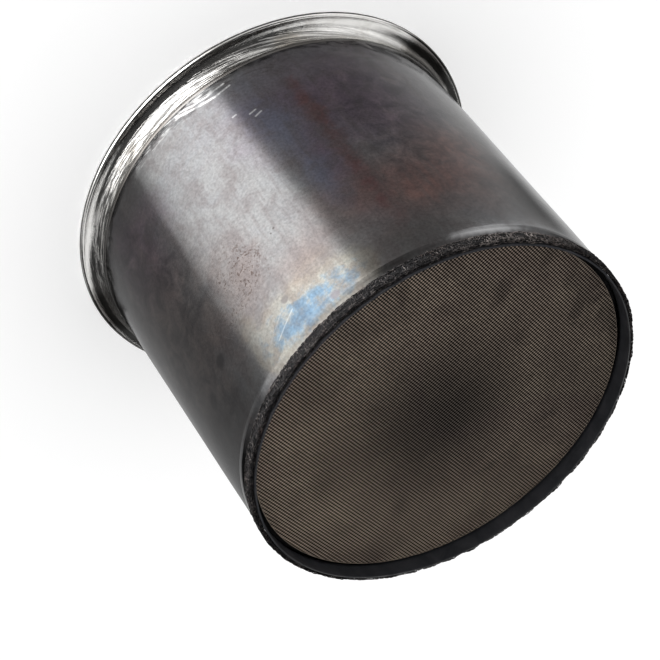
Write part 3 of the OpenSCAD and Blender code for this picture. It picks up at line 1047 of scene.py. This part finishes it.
def makeFloor():
    half = studio["floor"] / 2
    corners = [(-half, -half, 0), (half, -half, 0), (half, half, 0), (-half, half, 0)]
    floor = newPiece("floor", newMesh("floor", corners, [(0, 1, 2, 3)]))
    finish, shader, _ = newFinish("paleFloor", studio["floorTone"], 0, 0.9)
    rays = addNode("ShaderNodeLightPath").outputs
    seen = times(rays["Is Camera Ray"], studio["white"])
    seen = calc("ADD", seen, times(rays["Is Glossy Ray"], studio["sheen"]))
    feed(shader, {"Emission Strength": 1, "Emission Color": seen})
    floor.data.materials.append(finish)
    floor.location.z = -studio["floorDrop"]


def makeCard(name, corners, faces, tone, glow=None):
    # a studio card that only shows in polished metal
    mesh = newMesh(name, corners, faces)
    card = newPiece(name, mesh)
    finish, shader, _ = newFinish(name, (tone, tone, tone), 0, 1)
    if glow:
        mesh.attributes.new("glow", "FLOAT", "POINT").data.foreach_set("value", glow)
        level = addNode("ShaderNodeAttribute", attribute_name="glow").outputs["Fac"]
        back = addNode("ShaderNodeNewGeometry").outputs["Backfacing"]
        lit = times(level, calc("SUBTRACT", 1, back))
        feed(shader, {"Emission Strength": 1, "Emission Color": lit})
    card.data.materials.append(finish)
    card.visible_camera = card.visible_diffuse = card.visible_shadow = card.visible_transmission = False


def floorSeenIn(turn, height):
    # the floor point that the camera sees in the shell at this turn and height
    spot, eye = Vector(onShell(turn, height)), Vector(view["place"])
    side = Vector((spot.x, spot.y, 0)).normalized()
    way = (spot - eye).reflect(side)
    spot -= way * (spot.z / way.z)
    flat = spot.xy.length
    return spot if flat > studio["nearest"] else Vector((spot.x, spot.y, 0)) * (studio["nearest"] / flat)


def gridFaces(rows, count):
    return [(r * count + k, (r + 1) * count + k, (r + 1) * count + k + 1, r * count + k + 1)
            for r in range(rows - 1) for k in range(count - 1)]


def flagCorners(flag):
    turn = Matrix.Rotation(cameraSide + math.radians(flag["turn"]), 4, "Z")
    tilt = Matrix.Rotation(-math.radians(flag["tilt"]), 4, "Y")
    w, h = flag["wide"] / 2, flag["high"] / 2
    return [turn @ tilt @ Vector((flag["away"], y, z)) for y, z in ((-w, -h), (-w, h), (w, h), (w, -h))]


def makeLight():
    world = bpy.data.worlds.new("studio")
    scene.world = world
    world.use_nodes = True
    world.node_tree.nodes["Background"].inputs["Color"].default_value = (1, 1, 1, 1)
    world.node_tree.nodes["Background"].inputs["Strength"].default_value = studio["sky"]
    count = len(lightStrip)
    middle = sum(turn for turn, _ in lightStrip) / count
    corners, glow = [], []
    for height, share, wide in stripRows:
        corners += [floorSeenIn(middle + (turn - middle) * wide, height) for turn, _ in lightStrip]
        glow += [share * level for _, level in lightStrip]
    makeCard("lightStrip", corners, gridFaces(len(stripRows), count), 0, glow)
    h = horizonCard
    corners = [onShell(turn, z, h["away"]) for z, _ in h["rows"] for turn, _ in horizon]
    glow = [share * level for _, share in h["rows"] for _, level in horizon]
    makeCard("horizonCard", corners, gridFaces(len(h["rows"]), len(horizon)), 0, glow)
    makeCard("topFlag", flagCorners(topFlag), [(0, 1, 2, 3)], studio["flagTone"])
    for k, flag in enumerate(sideFlags):
        makeCard("sideFlag%d" % k, flagCorners(flag), [(0, 1, 2, 3)], studio["flagTone"])
    for tone in floorTones:
        corners = [floorSeenIn(column[0], row[0]) for row in tone["rows"] for column in tone["turns"]]
        glow = [1 + sum(p * across * along for p, across, along in zip(tone["parts"], row[1:], column[1:]))
                for row in tone["rows"] for column in tone["turns"]]
        makeCard(tone["name"], corners, gridFaces(len(tone["rows"]), len(tone["turns"])), 0, glow)
    for shade in footShades:
        corners = [onShell(turn, studio["shadeHigh"], r)
                   for r, _ in shade["rings"] for turn, _ in shade["turns"]]
        glow = [1 - near * side for _, near in shade["rings"] for _, side in shade["turns"]]
        makeCard(shade["name"], corners, gridFaces(len(shade["rings"]), len(shade["turns"])), 0, glow)


makeCamera()
makeFloor()
makeLight()
print("camera, floor and light set")
